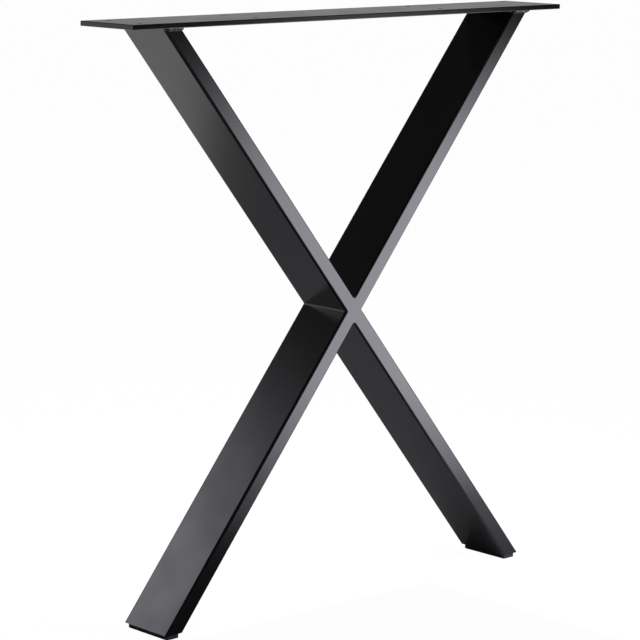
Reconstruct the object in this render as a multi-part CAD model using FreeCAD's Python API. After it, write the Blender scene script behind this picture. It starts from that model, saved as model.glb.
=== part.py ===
import FreeCAD, Part
import math
import os

# X-shaped table leg, welded from rectangular steel tube.
# A flat bar on top is screwed to the table. One diagonal is a single tube from the left foot to
# the right end of the plate. The other diagonal is two half tubes butted on its wide faces.
# +X runs along the plate, -Y is the front, +Z is up, and the origin is on the floor under the middle.

# Overall frame, all sizes in millimetres
leg_height = 720.0
leg_span = 590.0

# Mounting plate, a flat bar with screw holes
plate_thickness = 6.0
plate_end_overhang = 50.0
plate_side_overhang = 8.75
plate_edge_radius = 0.8
screw_hole_diameter = 7.0
hole_edge_distance = 20.0
inner_hole_spacing = 300.0

# Rectangular tube, with its wide side running front to back
tube_depth = 80.0
tube_width = 20.0
tube_wall = 2.0
tube_inner_radius = 1.0

# Feet: a closing plate in each tube mouth and a pad under it
end_plate_thickness = 3.0
pad_height = 6.5
pad_inset = 3.5
pad_corner_radius = 2.0
pad_edge_bevel = 0.8

# Welds: a fillet round each tube under the plate, and a bead round each half tube at the crossing
plate_weld_leg = 5.0
plate_weld_side_leg = 3.0
plate_weld_toe = 0.4
notch_weld_radius = 2.0
weld_edge_ease = 0.2
flush_weld_recess = 0.02

# Sizes that follow from the ones above
plate_length = leg_span + 2 * plate_end_overhang
plate_width = tube_depth + 2 * plate_side_overhang
plate_underside = leg_height - plate_thickness
half_run = (plate_underside - pad_height) / 2
crossing_height = pad_height + half_run
tube_outer_radius = tube_inner_radius + tube_wall
tube_reach = leg_height + leg_span
crossing_reach = 4 * tube_width

# The lean from upright puts the outer corners of both tube ends on the leg's span
half_span = leg_span / 2
lean = math.acos(tube_width / 2 / math.hypot(half_span, half_run)) - math.atan2(half_run, half_span)
cut_width = tube_width / math.cos(lean)


def leaning(shape, side):
    """Turn an upright shape onto a diagonal: side 1 leans to the right, -1 to the left."""
    turn = FreeCAD.Rotation(FreeCAD.Vector(0, 1, 0), side * math.degrees(lean))
    placed = shape.copy()
    placed.Placement = FreeCAD.Placement(FreeCAD.Vector(0, 0, crossing_height), turn)
    return placed


def upright_bar(width, depth):
    """Square-edged bar along Z, centred on the origin and longer than any diagonal."""
    corner = FreeCAD.Vector(-width / 2, -depth / 2, -tube_reach)
    return Part.makeBox(width, depth, 2 * tube_reach, corner)


def rounded_rectangle(center_x, z, width, depth, radius):
    """Level face with round corners, centred on the leg's middle plane."""
    corner = FreeCAD.Vector(center_x - width / 2 + radius, -depth / 2 + radius, z)
    core = Part.makePlane(width - 2 * radius, depth - 2 * radius, corner)
    return core.makeOffset2D(radius)


def round_bar(width, depth, radius):
    """The same bar with its four long edges rounded."""
    section = rounded_rectangle(0, -tube_reach, width, depth, radius)
    return section.extrude(FreeCAD.Vector(0, 0, 2 * tube_reach))


def level_slab(bottom, top):
    """Wide level slab that trims the tubes to a height range."""
    corner = FreeCAD.Vector(-tube_reach, -tube_depth, bottom)
    return Part.makeBox(2 * tube_reach, 2 * tube_depth, top - bottom, corner)


def tube_center_x(z, side):
    """Where a diagonal's centre line stands at a height."""
    return side * (z - crossing_height) * math.tan(lean)


outer_bar = round_bar(tube_width, tube_depth, tube_outer_radius)
inner_bar = round_bar(tube_width - 2 * tube_wall, tube_depth - 2 * tube_wall, tube_inner_radius)
tube_bar = outer_bar.cut(inner_bar)
tube_slab = level_slab(pad_height, plate_underside)


def beside_long_tube(half):
    """Everything on one side of the long tube: half 1 is above its wide face, -1 is below."""
    near_face = -half * tube_width / 2
    far_face = -half * tube_reach
    corner = FreeCAD.Vector(min(near_face, far_face), -tube_depth, -tube_reach)
    return leaning(Part.makeBox(abs(far_face - near_face), 2 * tube_depth, 2 * tube_reach, corner), 1)


def mounting_plate():
    """Flat bar with its edges just broken and two rows of screw holes."""
    corner = FreeCAD.Vector(-plate_length / 2, -plate_width / 2, plate_underside)
    bar = Part.makeBox(plate_length, plate_width, plate_thickness, corner)
    plate = bar.makeFillet(plate_edge_radius, bar.Edges)
    hole_y = plate_width / 2 - hole_edge_distance
    outer_hole_x = (plate_length - plate_end_overhang) / 2
    for x in (-outer_hole_x, -inner_hole_spacing / 2, inner_hole_spacing / 2, outer_hole_x):
        for y in (-hole_y, hole_y):
            foot = FreeCAD.Vector(x, y, plate_underside)
            plate = plate.cut(Part.makeCylinder(screw_hole_diameter / 2, plate_thickness, foot))
    return plate


def half_tube(half):
    """Tube sawn level at one end and to the slope of the long tube's wide face at the other."""
    return leaning(tube_bar, -1).common(tube_slab).common(beside_long_tube(half))


def end_plate(side):
    """Closing plate that fills a tube's mouth, level with the tube's sawn end."""
    mouth = level_slab(pad_height, pad_height + end_plate_thickness)
    return leaning(inner_bar, side).common(mouth)


def foot_pad(side):
    """Pad under a tube's end, set in from the tube on all sides, with a bevelled lower edge."""
    width = cut_width - 2 * pad_inset
    depth = tube_depth - 2 * pad_inset
    sole = rounded_rectangle(tube_center_x(pad_height, side), 0, width, depth, pad_corner_radius)
    pad = sole.extrude(FreeCAD.Vector(0, 0, pad_height))
    floor_edges = [edge for edge in pad.Edges if edge.BoundBox.ZMax < pad_edge_bevel]
    return pad.makeChamfer(pad_edge_bevel, floor_edges)


def plate_weld(side):
    """Fillet weld round a tube's top: wide on the plate, running out to a thin toe on the tube."""
    toe_height = plate_underside - plate_weld_leg
    toe = rounded_rectangle(
        tube_center_x(toe_height, side),
        toe_height,
        cut_width + 2 * plate_weld_toe,
        tube_depth + 2 * plate_weld_toe,
        tube_outer_radius,
    )
    root = rounded_rectangle(
        tube_center_x(plate_underside, side),
        plate_underside,
        cut_width + 2 * plate_weld_side_leg,
        tube_depth + 2 * plate_weld_leg,
        tube_outer_radius + plate_weld_side_leg,
    )
    bead = Part.makeLoft([toe.OuterWire, root.OuterWire], True, True)
    return bead.cut(leaning(outer_bar, side))


def crossing_form():
    """The X where the tubes cross, with its notches filled to a radius and its outline rounded.

    It lies just inside the outer faces of both tubes, so whatever it has beyond them is weld. The
    tubes' round edges are carried on round the notches, as the ground and coated weld shows them.
    """
    bar = upright_bar(tube_width, tube_depth - 2 * flush_weld_recess)
    around = level_slab(crossing_height - crossing_reach, crossing_height + crossing_reach)
    form = leaning(bar, 1).fuse(leaning(bar, -1)).common(around).removeSplitter()
    notches = []
    for edge in form.Edges:
        near_middle = abs(edge.CenterOfMass.z - crossing_height) < crossing_reach / 2
        if near_middle and edge.BoundBox.YLength > tube_depth / 2:
            notches.append(edge)
    form = form.makeFillet(notch_weld_radius, notches)
    outline = []
    for edge in form.Edges:
        in_front_or_back_face = edge.BoundBox.YLength < tube_wall
        level_end = edge.BoundBox.ZLength < flush_weld_recess
        if in_front_or_back_face and not level_end:
            outline.append(edge)
    return form.makeFillet(tube_outer_radius + weld_edge_ease, outline)


def crossing_weld(half):
    """Weld round a half tube's end: a fillet in each notch, joined over the long tube's round edges.

    At front and back it fills the groove beside the long tube's round edge, and is ground flush with
    the faces of both tubes.
    """
    crossing_angle = 2 * lean
    seat_x = -half * tube_width / 2
    groove_x = seat_x + half * tube_outer_radius
    far_x = seat_x - half * 2 * notch_weld_radius
    seat_middle = half * tube_width / 2 / math.tan(crossing_angle)
    seat_reach = tube_width / 2 / math.sin(crossing_angle) + 2 * notch_weld_radius
    corner = FreeCAD.Vector(min(groove_x, far_x), -tube_depth, seat_middle - seat_reach)
    seat = leaning(Part.makeBox(abs(far_x - groove_x), 2 * tube_depth, 2 * seat_reach, corner), 1)
    half_envelope = leaning(outer_bar, -1).common(beside_long_tube(half))
    between_walls = leaning(upright_bar(tube_width, tube_depth - 2 * tube_wall), -1)
    weld = crossing_form().common(seat).cut(half_envelope)
    return weld.cut(leaning(outer_bar, 1)).cut(between_walls)


pieces = {
    "mounting_plate": mounting_plate(),
    "long_tube": leaning(tube_bar, 1).common(tube_slab),
    "upper_half_tube": half_tube(1),
    "lower_half_tube": half_tube(-1),
    "upper_half_weld": crossing_weld(1),
    "lower_half_weld": crossing_weld(-1),
    "left_plate_weld": plate_weld(-1),
    "right_plate_weld": plate_weld(1),
    "left_end_plate": end_plate(1),
    "right_end_plate": end_plate(-1),
    "left_foot_pad": foot_pad(1),
    "right_foot_pad": foot_pad(-1),
}

os.makedirs("parts", exist_ok=True)
for name, shape in pieces.items():
    shape.exportStep(os.path.join("parts", name + ".step"))
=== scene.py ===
import math

import bmesh
import bpy
from mathutils import Matrix, Vector


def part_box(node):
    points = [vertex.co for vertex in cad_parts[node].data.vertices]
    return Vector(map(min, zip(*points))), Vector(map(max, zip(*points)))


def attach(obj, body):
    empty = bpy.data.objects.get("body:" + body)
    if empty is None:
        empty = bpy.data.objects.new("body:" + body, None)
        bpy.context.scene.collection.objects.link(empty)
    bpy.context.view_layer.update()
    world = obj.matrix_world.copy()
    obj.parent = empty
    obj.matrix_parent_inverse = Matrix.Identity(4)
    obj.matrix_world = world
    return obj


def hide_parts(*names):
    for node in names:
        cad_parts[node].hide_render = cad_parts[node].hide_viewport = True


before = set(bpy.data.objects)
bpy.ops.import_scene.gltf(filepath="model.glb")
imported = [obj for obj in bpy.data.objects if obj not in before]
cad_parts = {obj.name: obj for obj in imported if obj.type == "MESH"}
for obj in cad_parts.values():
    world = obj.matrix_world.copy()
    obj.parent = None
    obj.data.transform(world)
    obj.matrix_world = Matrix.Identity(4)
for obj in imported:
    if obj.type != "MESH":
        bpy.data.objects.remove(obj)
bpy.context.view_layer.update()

# Long tube
# One length of rectangular steel tube, 80 x 20 mm, from the left foot to the right end of the plate.
# It is sawn level at both ends, and the whole leg is welded up first and powder coated after.
COAT_DARK = "#0a0a0b"
COAT_LIGHT = "#0f0f11"
COAT_IOR = 1.5
COAT_ROUGHNESS_LOW = 0.17
COAT_ROUGHNESS_HIGH = 0.2
COAT_FLOW_WIDTH = 0.06
COAT_FLOW_DETAIL = 2.0
NOISE_LOW = 0.35
NOISE_HIGH = 0.65
ORANGE_PEEL_WIDTH = 0.003
ORANGE_PEEL_DEPTH = 0.0000015
ORANGE_PEEL_DETAIL = 1.0


def linear_rgba(hex_colour):
    """Scene-linear colour of an sRGB hex value, with full alpha."""
    channels = [int(hex_colour[i:i + 2], 16) / 255 for i in (1, 3, 5)]
    return [c / 12.92 if c <= 0.04045 else ((c + 0.055) / 1.055) ** 2.4 for c in channels] + [1.0]


def add_node(tree, kind, inputs, **settings):
    """Adds a node, sets its own settings, and fills or links its inputs."""
    made = tree.nodes.new(kind)
    for name, value in settings.items():
        setattr(made, name, value)
    for name, value in inputs.items():
        if isinstance(value, bpy.types.NodeSocket):
            tree.links.new(value, made.inputs[name])
        else:
            made.inputs[name].default_value = value
    return made


def new_material(name):
    """An empty node material and its tree."""
    material = bpy.data.materials.new(name)
    material.use_nodes = True
    material.node_tree.nodes.clear()
    return material, material.node_tree


# Satin black polyester powder coat: it melts and flows to a film with a very fine orange peel. To the
# eye it is a deep black with soft, wide reflections that are a little cloudier in patches.
powder_coat, coat_tree = new_material("satin_black_powder_coat")
coat_place = add_node(coat_tree, "ShaderNodeTexCoord", {})
peel = add_node(
    coat_tree,
    "ShaderNodeTexNoise",
    {
        "Vector": coat_place.outputs["Object"],
        "Scale": 1 / ORANGE_PEEL_WIDTH,
        "Detail": ORANGE_PEEL_DETAIL,
    },
)
flow = add_node(
    coat_tree,
    "ShaderNodeTexNoise",
    {"Vector": coat_place.outputs["Object"], "Scale": 1 / COAT_FLOW_WIDTH, "Detail": COAT_FLOW_DETAIL},
)
coat_roughness = add_node(
    coat_tree,
    "ShaderNodeMapRange",
    {
        "Value": flow.outputs["Fac"],
        "From Min": NOISE_LOW,
        "From Max": NOISE_HIGH,
        "To Min": COAT_ROUGHNESS_LOW,
        "To Max": COAT_ROUGHNESS_HIGH,
    },
)
coat_colour = add_node(
    coat_tree,
    "ShaderNodeMix",
    {"Factor": flow.outputs["Fac"], "A": linear_rgba(COAT_DARK), "B": linear_rgba(COAT_LIGHT)},
    data_type="RGBA",
)
coat_skin = add_node(
    coat_tree,
    "ShaderNodeBump",
    {"Height": peel.outputs["Fac"], "Distance": ORANGE_PEEL_DEPTH},
)
coat_shader = add_node(
    coat_tree,
    "ShaderNodeBsdfPrincipled",
    {
        "Base Color": coat_colour.outputs["Result"],
        "Roughness": coat_roughness.outputs["Result"],
        "Normal": coat_skin.outputs["Normal"],
        "IOR": COAT_IOR,
    },
)
add_node(coat_tree, "ShaderNodeOutputMaterial", {"Surface": coat_shader.outputs["BSDF"]})


def finish_node(node_name, material):
    """Gives a carried-over solid its finish."""
    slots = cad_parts[node_name].data.materials
    slots.clear()
    slots.append(material)


finish_node("long_tube", powder_coat)

# Half tubes
# The other diagonal: two lengths of the same tube, each mitred to seat on a wide face of the long
# tube. Their narrow faces run on from the long tube's, so the crossing is flat at front and back.
finish_node("upper_half_tube", powder_coat)
finish_node("lower_half_tube", powder_coat)

# Crossing welds
# Welded all round each mitre. At front and back the weld is ground flush, and in the four notches it
# stays as laid: a slim rippled bead, drawn here over the solid's plain fillet.
TUBE_WIDTH = 0.020
TUBE_CORNER = 0.003
NOTCH_BEAD_RADIUS = 0.002
NOTCH_BEAD_FULLNESS = 0.02
NOTCH_BEAD_END_SHARE = 0.7
NOTCH_BEAD_TAPER = 0.006
STATION_STEP = 0.0004
CROWN_POINTS = 11
ROOT_SINK = 0.0003
# A hand-laid bead of this size has a ripple about every millimetre. These are drawn coarser, so that
# they show.
NOTCH_RIPPLE_SPACING = 0.002
NOTCH_RIPPLE_DEPTH = 0.00004
RIPPLE_BOW = 0.6
BEAD_UNEVENNESS = 0.12
BEAD_WANDER = 0.012

# The tubes cross in the middle of the long tube's box, and its outer corners lie on the box's sides
tube_low, tube_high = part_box("long_tube")
crossing = (tube_low + tube_high) / 2
half_run = (tube_high - tube_low) / 2
tube_depth = 2 * half_run.y
half_diagonal = math.hypot(half_run.x, half_run.z)
lean = math.acos(TUBE_WIDTH / 2 / half_diagonal) - math.atan2(half_run.z, half_run.x)


def new_tree(name, sockets):
    """An empty geometry tree with its named inputs, and its input node."""
    tree = bpy.data.node_groups.new(name, "GeometryNodeTree")
    for label, kind in sockets.items():
        tree.interface.new_socket(label, in_out="INPUT", socket_type=kind)
    tree.interface.new_socket("Geometry", in_out="OUTPUT", socket_type="NodeSocketGeometry")
    return tree, tree.nodes.new("NodeGroupInput").outputs


# The ripple tree lifts a smooth bead into crescent ripples, and lets its size wander along the seam.
ripple_tree, given = new_tree(
    "weld_ripple",
    {
        "Geometry": "NodeSocketGeometry",
        "Ripple Spacing": "NodeSocketFloat",
        "Ripple Depth": "NodeSocketFloat",
        "Ripple Bow": "NodeSocketFloat",
        "Unevenness": "NodeSocketFloat",
        "Wander": "NodeSocketFloat",
        "Seed": "NodeSocketFloat",
        "Material": "NodeSocketMaterial",
    },
)
along = add_node(ripple_tree, "GeometryNodeInputNamedAttribute", {"Name": "along"}, data_type="FLOAT")
across = add_node(ripple_tree, "GeometryNodeInputNamedAttribute", {"Name": "across"}, data_type="FLOAT")
root = add_node(
    ripple_tree, "GeometryNodeInputNamedAttribute", {"Name": "root"}, data_type="FLOAT_VECTOR"
)
point = add_node(ripple_tree, "GeometryNodeInputPosition", {})
reach = add_node(
    ripple_tree,
    "ShaderNodeVectorMath",
    {0: point.outputs["Position"], 1: root.outputs["Attribute"]},
    operation="SUBTRACT",
)
outward = add_node(
    ripple_tree, "ShaderNodeVectorMath", {0: reach.outputs["Vector"]}, operation="NORMALIZE"
)
across_squared = add_node(
    ripple_tree,
    "ShaderNodeMath",
    {0: across.outputs["Attribute"], 1: across.outputs["Attribute"]},
    operation="MULTIPLY",
)
step_count = add_node(
    ripple_tree,
    "ShaderNodeMath",
    {0: along.outputs["Attribute"], 1: given["Ripple Spacing"]},
    operation="DIVIDE",
)
bowed_count = add_node(
    ripple_tree,
    "ShaderNodeMath",
    {0: across_squared.outputs[0], 1: given["Ripple Bow"], 2: step_count.outputs[0]},
    operation="MULTIPLY_ADD",
)
half_turns = add_node(
    ripple_tree, "ShaderNodeMath", {0: bowed_count.outputs[0], 1: math.pi}, operation="MULTIPLY"
)
wave = add_node(ripple_tree, "ShaderNodeMath", {0: half_turns.outputs[0]}, operation="SINE")
scallop = add_node(ripple_tree, "ShaderNodeMath", {0: wave.outputs[0]}, operation="ABSOLUTE")
crown = add_node(
    ripple_tree, "ShaderNodeMath", {0: 1.0, 1: across_squared.outputs[0]}, operation="SUBTRACT"
)
lift = add_node(
    ripple_tree,
    "ShaderNodeMath",
    {0: scallop.outputs[0], 1: given["Ripple Depth"]},
    operation="MULTIPLY",
)
crown_lift = add_node(
    ripple_tree, "ShaderNodeMath", {0: lift.outputs[0], 1: crown.outputs[0]}, operation="MULTIPLY"
)
wander_place = add_node(
    ripple_tree,
    "ShaderNodeMath",
    {0: along.outputs["Attribute"], 1: given["Wander"]},
    operation="DIVIDE",
)
seeded_place = add_node(
    ripple_tree, "ShaderNodeMath", {0: wander_place.outputs[0], 1: given["Seed"]}, operation="ADD"
)
wander = add_node(
    ripple_tree,
    "ShaderNodeTexNoise",
    {"W": seeded_place.outputs[0], "Scale": 1.0},
    noise_dimensions="1D",
)
swing = add_node(
    ripple_tree,
    "ShaderNodeMapRange",
    {"Value": wander.outputs["Fac"], "From Min": 0.0, "From Max": 1.0, "To Min": -1.0, "To Max": 1.0},
)
growth = add_node(
    ripple_tree,
    "ShaderNodeMath",
    {0: swing.outputs["Result"], 1: given["Unevenness"]},
    operation="MULTIPLY",
)
grown = add_node(
    ripple_tree,
    "ShaderNodeVectorMath",
    {0: reach.outputs["Vector"], "Scale": growth.outputs[0]},
    operation="SCALE",
)
lifted = add_node(
    ripple_tree,
    "ShaderNodeVectorMath",
    {0: outward.outputs["Vector"], "Scale": crown_lift.outputs[0]},
    operation="SCALE",
)
shift = add_node(
    ripple_tree,
    "ShaderNodeVectorMath",
    {0: grown.outputs["Vector"], 1: lifted.outputs["Vector"]},
    operation="ADD",
)
moved = add_node(
    ripple_tree,
    "GeometryNodeSetPosition",
    {"Geometry": given["Geometry"], "Offset": shift.outputs["Vector"]},
)
smooth = add_node(ripple_tree, "GeometryNodeSetShadeSmooth", {"Geometry": moved.outputs["Geometry"]})
real = add_node(ripple_tree, "GeometryNodeRealizeInstances", {"Geometry": smooth.outputs["Geometry"]})
coated = add_node(
    ripple_tree,
    "GeometryNodeSetMaterial",
    {"Geometry": real.outputs["Geometry"], "Material": given["Material"]},
)
add_node(ripple_tree, "NodeGroupOutput", {"Geometry": coated.outputs["Geometry"]})


def smooth_bead(name, stations, fullness, closed):
    """A closed bead mesh swept through stations of root, first toe, second toe and length so far."""
    points, faces, roots, lengths, sides = [], [], [], [], []
    for corner, first_toe, second_toe, length in stations:
        for i in range(CROWN_POINTS):
            part = i / (CROWN_POINTS - 1)
            flat = first_toe * (1 - part) + second_toe * part
            turn = part * math.pi / 2
            full = first_toe * math.cos(turn) + second_toe * math.sin(turn)
            points.append(corner + flat.lerp(full, fullness))
            sides.append(2 * part - 1)
        points.append(corner - (first_toe.normalized() + second_toe.normalized()) * ROOT_SINK)
        sides.append(1.0)
        roots += [corner] * (CROWN_POINTS + 1)
        lengths += [length] * (CROWN_POINTS + 1)
    ring = CROWN_POINTS + 1
    for s in range(len(stations) if closed else len(stations) - 1):
        here, there = s * ring, (s + 1) % len(stations) * ring
        for i in range(ring):
            after = (i + 1) % ring
            faces.append((here + i, here + after, there + after, there + i))
    if not closed:
        last = (len(stations) - 1) * ring
        faces += [tuple(range(ring)), tuple(range(last, last + ring))]
    mesh = bpy.data.meshes.new(name)
    mesh.from_pydata(points, [], faces)
    work = bmesh.new()
    work.from_mesh(mesh)
    bmesh.ops.recalc_face_normals(work, faces=work.faces)
    work.to_mesh(mesh)
    work.free()
    mesh.attributes.new("along", "FLOAT", "POINT").data.foreach_set("value", lengths)
    mesh.attributes.new("across", "FLOAT", "POINT").data.foreach_set("value", sides)
    flat_roots = [value for corner in roots for value in corner]
    mesh.attributes.new("root", "FLOAT_VECTOR", "POINT").data.foreach_set("vector", flat_roots)
    return mesh


def rippled_bead(name, mesh, spacing, depth, seed):
    """The bead with its ripples, as a plain mesh object on the leg's body."""
    raw = bpy.data.objects.new(name + "_raw", mesh)
    bpy.context.scene.collection.objects.link(raw)
    ripples = raw.modifiers.new("ripples", "NODES")
    ripples.node_group = ripple_tree
    values = {
        "Ripple Spacing": spacing,
        "Ripple Depth": depth,
        "Ripple Bow": RIPPLE_BOW,
        "Unevenness": BEAD_UNEVENNESS,
        "Wander": BEAD_WANDER,
        "Seed": seed,
        "Material": powder_coat,
    }
    for item in ripple_tree.interface.items_tree:
        if item.in_out == "INPUT" and item.name in values:
            ripples[item.identifier] = values[item.name]
    graph = bpy.context.evaluated_depsgraph_get()
    finished = bpy.data.meshes.new_from_object(raw.evaluated_get(graph), depsgraph=graph)
    bpy.data.objects.remove(raw)
    for label in ("along", "across", "root"):
        finished.attributes.remove(finished.attributes[label])
    bead = bpy.data.objects.new(name, finished)
    bpy.context.scene.collection.objects.link(bead)
    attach(bead, "root")
    return bead


def notch_stations(corner, first, second):
    """Stations from front to back along a notch, for the two directions its bead runs out in."""
    reach = tube_depth / 2 - TUBE_CORNER
    full_leg = NOTCH_BEAD_RADIUS / math.tan(first.angle(second) / 2)
    count = round(2 * reach / STATION_STEP)
    stations = []
    for i in range(count + 1):
        y = -reach + 2 * reach * i / count
        inside = min(1.0, (reach - abs(y)) / NOTCH_BEAD_TAPER)
        share = NOTCH_BEAD_END_SHARE + (1 - NOTCH_BEAD_END_SHARE) * math.sin(inside * math.pi / 2)
        leg = full_leg * share
        stations.append((corner + Vector((0, y, 0)), first * leg, second * leg, y + reach))
    return stations


finish_node("upper_half_weld", powder_coat)
finish_node("lower_half_weld", powder_coat)
long_axis = Vector((math.sin(lean), 0, math.cos(lean)))
long_side = Vector((math.cos(lean), 0, -math.sin(lean)))
half_axis = Vector((-math.sin(lean), 0, math.cos(lean)))
seat_middle = TUBE_WIDTH / 2 / math.tan(2 * lean)
seat_half = TUBE_WIDTH / 2 / math.sin(2 * lean)
for seed, (name, half, end) in enumerate(
    (
        ("top_notch_bead", 1, 1),
        ("left_notch_bead", 1, -1),
        ("bottom_notch_bead", -1, 1),
        ("right_notch_bead", -1, -1),
    )
):
    seat = -long_side * (TUBE_WIDTH / 2) + long_axis * (seat_middle + end * seat_half)
    stations = notch_stations(crossing + half * seat, long_axis * (half * end), half_axis * half)
    mesh = smooth_bead(name, stations, NOTCH_BEAD_FULLNESS, closed=False)
    rippled_bead(name, mesh, NOTCH_RIPPLE_SPACING, NOTCH_RIPPLE_DEPTH, seed)

# Mounting plate
# Flat steel bar, 6 mm thick, with its edges just broken and two rows of drilled holes for the screws
# into the table top. It is welded to both tubes and coated with them.
finish_node("mounting_plate", powder_coat)

# Plate welds
# A fillet weld all round each tube's top, heavier across the narrow faces, laid by hand: rippled,
# a little uneven, and left as laid under the coat. Each starts and stops at the back.
PLATE_BEAD_LEG = 0.005
PLATE_BEAD_SIDE_LEG = 0.003
PLATE_BEAD_FULLNESS = 0.55
PLATE_RIPPLE_SPACING = 0.0026
PLATE_RIPPLE_DEPTH = 0.0003
PLATE_SEED = 10
CORNER_STEPS = 12
plate_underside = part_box("mounting_plate")[0].z


def tube_outline(center_x, z):
    """The tube's level outline from the middle of its back: points, inward directions, lengths so far."""
    half_width = TUBE_WIDTH / 2 / math.cos(lean)
    half_depth = tube_depth / 2
    round_x = TUBE_CORNER / math.cos(lean)
    corners = []
    for quarter, (side_x, side_y) in enumerate(((1, 1), (1, -1), (-1, -1), (-1, 1))):
        middle_x = center_x + side_x * (half_width - round_x)
        middle = Vector((middle_x, side_y * (half_depth - TUBE_CORNER), z))
        for i in range(CORNER_STEPS + 1):
            turn = (1 - quarter - i / CORNER_STEPS) * math.pi / 2
            corners.append(middle + Vector((round_x * math.cos(turn), TUBE_CORNER * math.sin(turn), 0)))
    corners.insert(0, Vector((center_x, half_depth, z)))
    outline, length = [], 0.0
    for here, there in zip(corners, corners[1:] + corners[:1]):
        step = there - here
        count = max(1, round(step.length / STATION_STEP))
        inward = Vector((step.y, -step.x, 0)).normalized()
        for i in range(count):
            part = i / count
            outline.append((here + step * part, inward, length + step.length * part))
        length += step.length
    return outline, length


for seed, (name, node, side) in enumerate(
    (("left_plate_bead", "left_plate_weld", -1), ("right_plate_bead", "right_plate_weld", 1))
):
    axis = Vector((side * math.sin(lean), 0, math.cos(lean)))
    center_x = side * (plate_underside - crossing.z) * math.tan(lean)
    outline, length = tube_outline(center_x, plate_underside)
    stations = []
    for corner, inward, so_far in outline:
        leg = PLATE_BEAD_SIDE_LEG + (PLATE_BEAD_LEG - PLATE_BEAD_SIDE_LEG) * inward.y * inward.y
        stations.append((corner, -inward * leg, -axis * leg, so_far))
    spacing = length / round(length / PLATE_RIPPLE_SPACING)
    mesh = smooth_bead(name, stations, PLATE_BEAD_FULLNESS, closed=True)
    bead = rippled_bead(name, mesh, spacing, PLATE_RIPPLE_DEPTH, PLATE_SEED + seed)
    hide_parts(node)

# End plates
# Thin steel plates that close the sawn lower ends of the tubes, welded in level and coated with them.
# Each pad bears on one.
finish_node("left_end_plate", powder_coat)
finish_node("right_end_plate", powder_coat)

# Foot pads
# Moulded black plastic glides under the closed tube ends, a little smaller than the tubes all round,
# with a bevelled lower edge. They are pressed and glued on, and keep the steel off the floor.
PAD_DARK = "#202020"
PAD_LIGHT = "#2a2a2a"
PAD_IOR = 1.46
PAD_ROUGHNESS_LOW = 0.36
PAD_ROUGHNESS_HIGH = 0.48
PAD_GRAIN_WIDTH = 0.0007
PAD_GRAIN_DEPTH = 0.00003
PAD_GRAIN_DETAIL = 2.0

# Grained polyethylene: a waxy black, greyer and duller than the coat, with a fine mould texture.
pad_plastic, pad_tree = new_material("moulded_black_plastic")
pad_place = add_node(pad_tree, "ShaderNodeTexCoord", {})
grain = add_node(
    pad_tree,
    "ShaderNodeTexNoise",
    {"Vector": pad_place.outputs["Object"], "Scale": 1 / PAD_GRAIN_WIDTH, "Detail": PAD_GRAIN_DETAIL},
)
pad_colour = add_node(
    pad_tree,
    "ShaderNodeMix",
    {"Factor": grain.outputs["Fac"], "A": linear_rgba(PAD_DARK), "B": linear_rgba(PAD_LIGHT)},
    data_type="RGBA",
)
pad_roughness = add_node(
    pad_tree,
    "ShaderNodeMapRange",
    {
        "Value": grain.outputs["Fac"],
        "From Min": NOISE_LOW,
        "From Max": NOISE_HIGH,
        "To Min": PAD_ROUGHNESS_LOW,
        "To Max": PAD_ROUGHNESS_HIGH,
    },
)
pad_skin = add_node(
    pad_tree, "ShaderNodeBump", {"Height": grain.outputs["Fac"], "Distance": PAD_GRAIN_DEPTH}
)
pad_shader = add_node(
    pad_tree,
    "ShaderNodeBsdfPrincipled",
    {
        "Base Color": pad_colour.outputs["Result"],
        "Roughness": pad_roughness.outputs["Result"],
        "Normal": pad_skin.outputs["Normal"],
        "IOR": PAD_IOR,
    },
)
add_node(pad_tree, "ShaderNodeOutputMaterial", {"Surface": pad_shader.outputs["BSDF"]})
finish_node("left_foot_pad", pad_plastic)
finish_node("right_foot_pad", pad_plastic)

# Floor
# A wide pale painted floor. The camera sees it as white, and so does the coat where the floor runs
# back behind the leg. Under and before the leg, reflections show the paint as the lamps light it.
FLOOR_HALF_SIZE = 30.0
FLOOR_COLOUR = "#d2d2d2"
WHITE_SHARE = 0.9
WHITE_STRENGTH = 1.09
WHITE_START = 0.67
WHITE_FULL = 0.76
scene = bpy.context.scene


def level_sheet(name, left, right, front, back, height, material):
    """A flat level sheet with its material."""
    corners = [(left, front, height), (right, front, height), (right, back, height), (left, back, height)]
    mesh = bpy.data.meshes.new(name)
    mesh.from_pydata(corners, [], [(0, 1, 2, 3)])
    mesh.materials.append(material)
    sheet = bpy.data.objects.new(name, mesh)
    scene.collection.objects.link(sheet)
    return sheet


floor_paint, floor_tree = new_material("pale_floor_paint")
rays = add_node(floor_tree, "ShaderNodeLightPath", {})
floor_place = add_node(floor_tree, "ShaderNodeTexCoord", {})
floor_axes = add_node(floor_tree, "ShaderNodeSeparateXYZ", {"Vector": floor_place.outputs["Object"]})
far_part = add_node(
    floor_tree,
    "ShaderNodeMapRange",
    {"Value": floor_axes.outputs["Y"], "From Min": WHITE_START, "From Max": WHITE_FULL},
    interpolation_type="SMOOTHSTEP",
)
reflected = add_node(
    floor_tree,
    "ShaderNodeMath",
    {0: rays.outputs["Is Glossy Ray"], 1: far_part.outputs["Result"]},
    operation="MULTIPLY",
)
direct = add_node(
    floor_tree,
    "ShaderNodeMath",
    {0: rays.outputs["Is Camera Ray"], 1: rays.outputs["Is Transmission Ray"]},
    operation="ADD",
)
seen = add_node(
    floor_tree, "ShaderNodeMath", {0: direct.outputs[0], 1: reflected.outputs[0]}, operation="ADD"
)
white_part = add_node(
    floor_tree, "ShaderNodeMath", {0: seen.outputs[0], 1: WHITE_SHARE}, operation="MULTIPLY"
)
paint = add_node(floor_tree, "ShaderNodeBsdfDiffuse", {"Color": linear_rgba(FLOOR_COLOUR)})
white = add_node(floor_tree, "ShaderNodeEmission", {"Strength": WHITE_STRENGTH})
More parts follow.
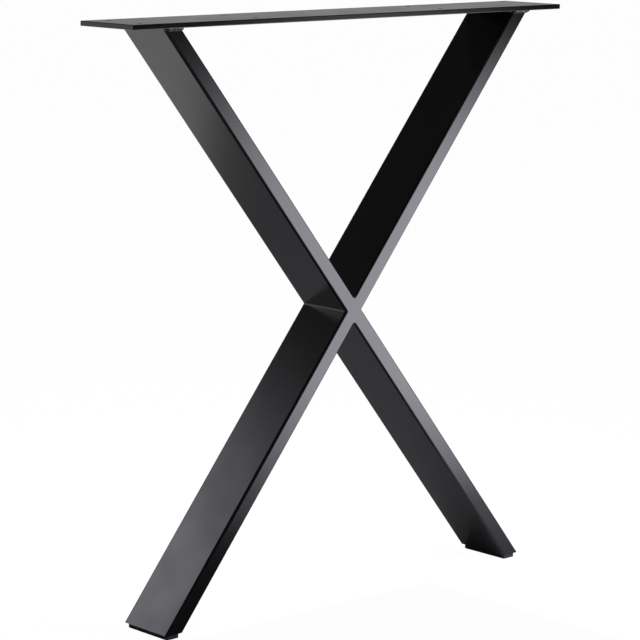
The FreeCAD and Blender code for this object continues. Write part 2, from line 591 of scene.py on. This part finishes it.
floor_look = add_node(
    floor_tree,
    "ShaderNodeMixShader",
    {0: white_part.outputs[0], 1: paint.outputs["BSDF"], 2: white.outputs["Emission"]},
)
add_node(floor_tree, "ShaderNodeOutputMaterial", {"Surface": floor_look.outputs["Shader"]})
floor = level_sheet(
    "studio_floor", -FLOOR_HALF_SIZE, FLOOR_HALF_SIZE, -FLOOR_HALF_SIZE, FLOOR_HALF_SIZE, 0, floor_paint
)

# Painted shade sheet
# A dark grey sheet on the floor before the leg, out of the camera's sight: painted shade that stands in
# for dark surroundings. The round front edges of the tubes reflect it, which draws the thin dark line
# along each of them as a painted reflection.
SHADE_SHEET_LEFT = -0.6
SHADE_SHEET_RIGHT = 0.12
SHADE_SHEET_FRONT = -0.45
SHADE_SHEET_BACK = -0.05
SHADE_SHEET_RISE = 0.0005
# Painted shade: this dark grey is what the tubes' front edges reflect as their thin dark lines.
SHADE_SHEET_COLOUR = "#585858"
shade_sheet_paint, shade_sheet_tree = new_material("reflected_shade_paint")
shade_sheet_shader = add_node(shade_sheet_tree, "ShaderNodeBsdfDiffuse", {"Color": linear_rgba(SHADE_SHEET_COLOUR)})
add_node(shade_sheet_tree, "ShaderNodeOutputMaterial", {"Surface": shade_sheet_shader.outputs["BSDF"]})
shade_sheet = level_sheet("reflected_shade_sheet", SHADE_SHEET_LEFT, SHADE_SHEET_RIGHT, SHADE_SHEET_FRONT, SHADE_SHEET_BACK, SHADE_SHEET_RISE, shade_sheet_paint)
shade_sheet.visible_camera = False

# Studio light
# A dim room with a white backdrop, one softbox at front right that the narrow faces reflect, one far
# behind at the left for the wide faces, a weak panel at the right for the plate, and one overhead.
AIR_STRENGTH = 0.08
BACKDROP_COLOUR = "#ffffff"
BACKDROP_STRENGTH = 1.0
COOL_TINT = "#f6f4ff"
PLAIN_TINT = "#ffffff"
NO_FADE = 1.0
LAMP_MIDDLE = (0.5, 0.5, 0.0)
LAMP_RIM = 0.5
FRONT_PLACE = (0.404, -0.423, 0.315)
FRONT_AIM = (0.032, -0.011, 0.315)
FRONT_SIZE = (0.876, 0.895)
FRONT_RADIANCE = 5.85
FRONT_FADE_START = 0.32
BACK_LEFT_PLACE = (-1.774, 2.95, 1.97)
BACK_LEFT_AIM = (-0.993, 2.95, 1.346)
BACK_LEFT_SIZE = (1.0, 1.8)
BACK_LEFT_RADIANCE = 5.0
BACK_LEFT_FADE_START = 0.08
BACK_RIGHT_PLACE = (1.25, 1.4, 0.85)
BACK_RIGHT_AIM = (0, 0, 0.72)
BACK_RIGHT_SIZE = (1.4, 0.5)
BACK_RIGHT_RADIANCE = 0.34
OVERHEAD_PLACE = (0, 0, 2.4)
OVERHEAD_AIM = (0, 0, 0)
OVERHEAD_SIZE = (1.2, 1.2)
OVERHEAD_RADIANCE = 3.0
scene.view_settings.view_transform = "Standard"
world = bpy.data.worlds.new("studio_air")
scene.world = world
world.use_nodes = True
world.node_tree.nodes.clear()
world_rays = add_node(world.node_tree, "ShaderNodeLightPath", {})
backdrop_part = add_node(
    world.node_tree,
    "ShaderNodeMath",
    {0: world_rays.outputs["Is Camera Ray"], 1: world_rays.outputs["Is Transmission Ray"]},
    operation="ADD",
)
air = add_node(world.node_tree, "ShaderNodeBackground", {"Strength": AIR_STRENGTH})
backdrop = add_node(
    world.node_tree,
    "ShaderNodeBackground",
    {"Color": linear_rgba(BACKDROP_COLOUR), "Strength": BACKDROP_STRENGTH},
)
surround = add_node(
    world.node_tree,
    "ShaderNodeMixShader",
    {0: backdrop_part.outputs[0], 1: air.outputs["Background"], 2: backdrop.outputs["Background"]},
)
add_node(world.node_tree, "ShaderNodeOutputWorld", {"Surface": surround.outputs["Shader"]})


def softbox(name, place, aim, size, radiance, tint, fade_start):
    """A lamp with a soft front, aimed at a point. It may dim from a share of its size out to its rim."""
    fading = fade_start < NO_FADE
    light = bpy.data.lights.new(name, "AREA")
    light.shape = "ELLIPSE" if fading else "RECTANGLE"
    light.size, light.size_y = size
    front_area = light.size * light.size_y * (math.pi / 4 if fading else 1.0)
    light.energy = radiance * math.pi * front_area
    light.color = linear_rgba(tint)[:3]
    if fading:
        light.use_nodes = True
        tree = light.node_tree
        tree.nodes.clear()
        front = add_node(tree, "ShaderNodeNewGeometry", {})
        from_middle = add_node(
            tree,
            "ShaderNodeVectorMath",
            {0: front.outputs["Parametric"], 1: LAMP_MIDDLE},
            operation="DISTANCE",
        )
        fade = add_node(
            tree,
            "ShaderNodeMapRange",
            {
                "Value": from_middle.outputs["Value"],
                "From Min": fade_start * LAMP_RIM,
                "From Max": LAMP_RIM,
                "To Min": 1.0,
                "To Max": 0.0,
            },
            interpolation_type="SMOOTHSTEP",
        )
        glow = add_node(tree, "ShaderNodeEmission", {"Strength": fade.outputs["Result"]})
        add_node(tree, "ShaderNodeOutputLight", {"Surface": glow.outputs["Emission"]})
    lamp = bpy.data.objects.new(name, light)
    lamp.location = place
    lamp.rotation_euler = (Vector(aim) - Vector(place)).to_track_quat("-Z", "Y").to_euler()
    lamp.visible_camera = False
    scene.collection.objects.link(lamp)


softbox(
    "front_softbox", FRONT_PLACE, FRONT_AIM, FRONT_SIZE, FRONT_RADIANCE, COOL_TINT, FRONT_FADE_START
)
softbox(
    "back_left_softbox",
    BACK_LEFT_PLACE,
    BACK_LEFT_AIM,
    BACK_LEFT_SIZE,
    BACK_LEFT_RADIANCE,
    COOL_TINT,
    BACK_LEFT_FADE_START,
)
softbox(
    "back_right_panel",
    BACK_RIGHT_PLACE,
    BACK_RIGHT_AIM,
    BACK_RIGHT_SIZE,
    BACK_RIGHT_RADIANCE,
    PLAIN_TINT,
    NO_FADE,
)
softbox(
    "overhead_softbox", OVERHEAD_PLACE, OVERHEAD_AIM, OVERHEAD_SIZE, OVERHEAD_RADIANCE, COOL_TINT, NO_FADE
)

# Camera
# A long lens from the front left, a little above the leg's middle, as the photograph was taken. Its
# place and its focal length come from a fit to the leg's straight edges.
IMAGE_SIZE = 640
FOCAL_PIXELS = 2687.95
SENSOR_WIDTH = 36.0
CAMERA_AZIMUTH = math.radians(-42.026)
CAMERA_ELEVATION = math.radians(9.941)
CAMERA_ROLL = math.radians(0.348)
CAMERA_DISTANCE = 3.2885
CAMERA_TARGET = Vector((-0.0203, 0, 0.34547))
lens = bpy.data.cameras.new("photo_camera")
lens.sensor_width = SENSOR_WIDTH
lens.lens = FOCAL_PIXELS / IMAGE_SIZE * SENSOR_WIDTH
camera_back = Vector(
    (
        math.sin(CAMERA_AZIMUTH) * math.cos(CAMERA_ELEVATION),
        -math.cos(CAMERA_AZIMUTH) * math.cos(CAMERA_ELEVATION),
        math.sin(CAMERA_ELEVATION),
    )
)
level_right = Vector((0, 0, 1)).cross(camera_back).normalized()
level_up = camera_back.cross(level_right)
camera_right = math.cos(CAMERA_ROLL) * level_right + math.sin(CAMERA_ROLL) * level_up
camera_up = camera_back.cross(camera_right)
camera_turn = Matrix((camera_right, camera_up, camera_back)).transposed().to_4x4()
camera = bpy.data.objects.new("photo_camera", lens)
camera.matrix_world = Matrix.Translation(CAMERA_TARGET + camera_back * CAMERA_DISTANCE) @ camera_turn
scene.collection.objects.link(camera)
scene.camera = camera
